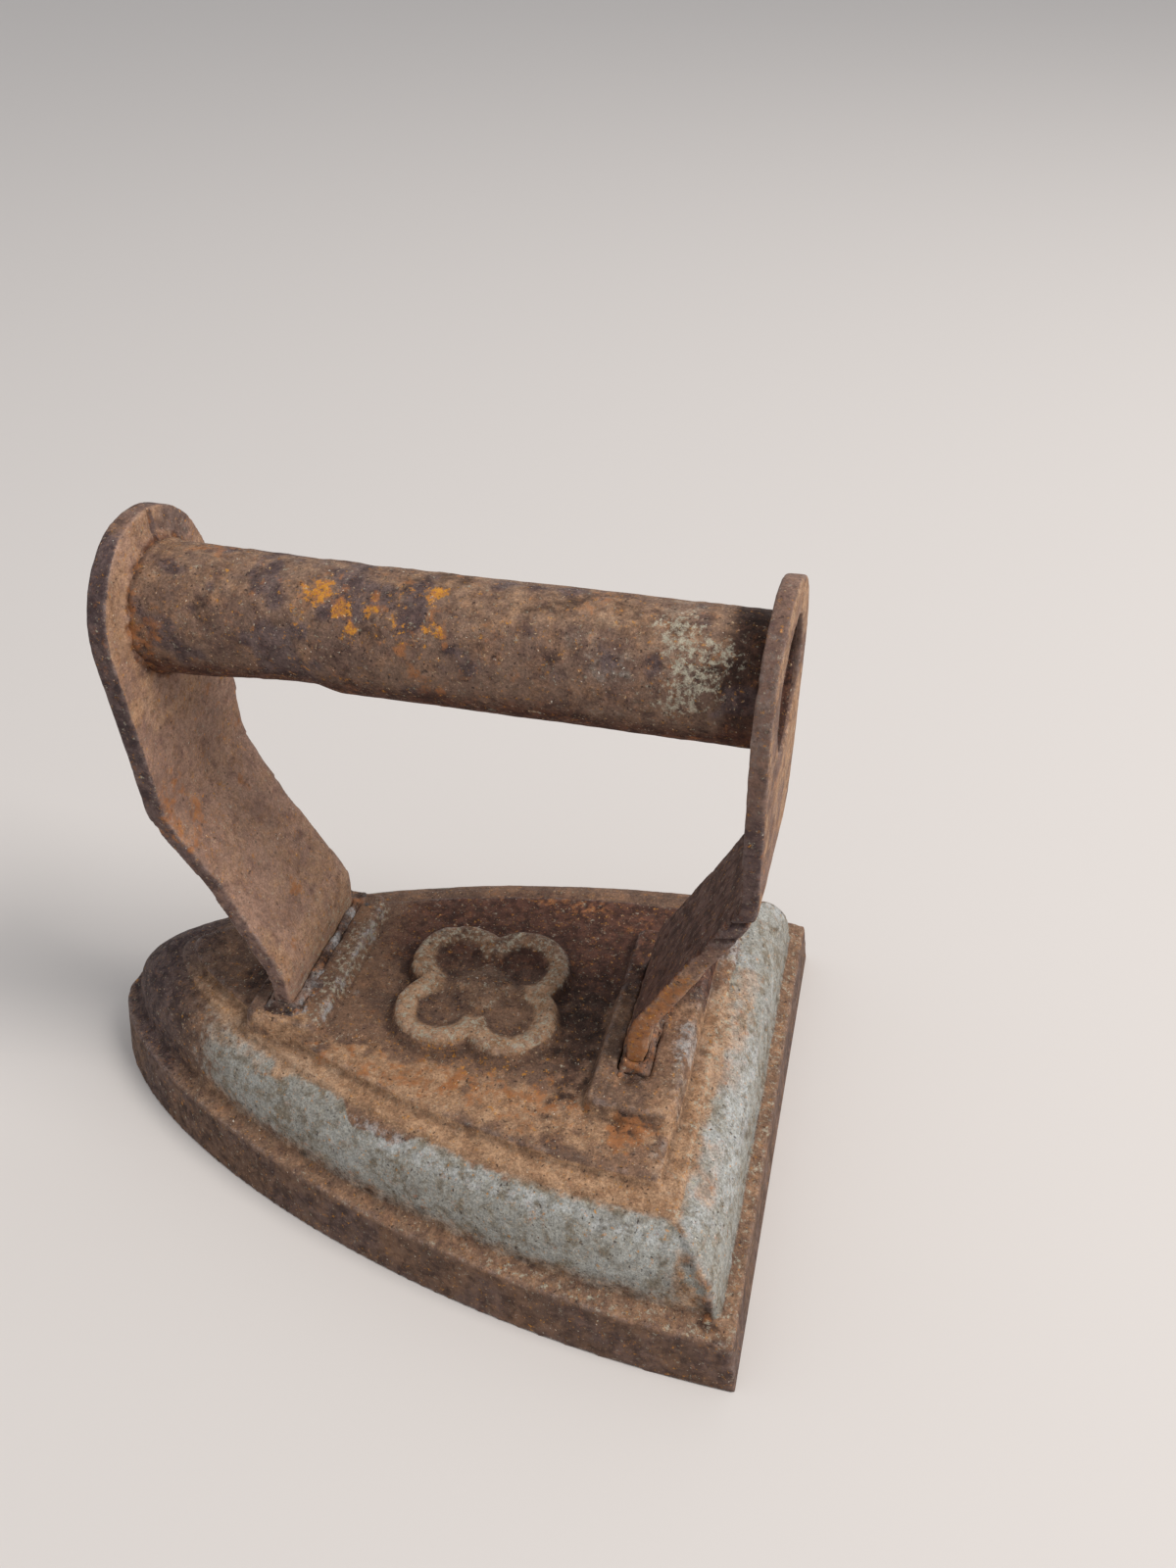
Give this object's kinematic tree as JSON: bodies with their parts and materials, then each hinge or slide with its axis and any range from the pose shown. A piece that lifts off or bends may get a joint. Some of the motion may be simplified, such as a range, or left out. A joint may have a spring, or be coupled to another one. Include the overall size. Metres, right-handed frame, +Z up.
{
  "type": "clothes iron",
  "caption": "Antique stove-heated clothes iron: heavy pointed cast sole block with stepped shoulders, bent strap uprights and a rolled sheet handle tube, all rusty brown.",
  "frame": {"origin": "on the sole face, under the middle of the sole's length and width", "axes": "+X towards the toe, +Y towards the iron's left side, +Z up from the sole"},
  "size_m": [0.15, 0.112, 0.1301],
  "materials": {
    "sole_iron": "cast, worn grey on the shoulders and rusted brown on the flats",
    "strap_iron": "forged, dark rust brown with bright worn edges",
    "handle_sheet": "rolled sheet, rust brown with yellow and orange flecks",
    "foot_crust": "rough pale crust"
  },
  "bodies": {
    "root": {"body_casting": "sole_iron", "rear_upright": "strap_iron", "front_upright": "strap_iron", "handle_tube": "handle_sheet", "rear_foot_caulking": "foot_crust", "front_foot_caulking": "foot_crust"}
  },
  "joints": []
}
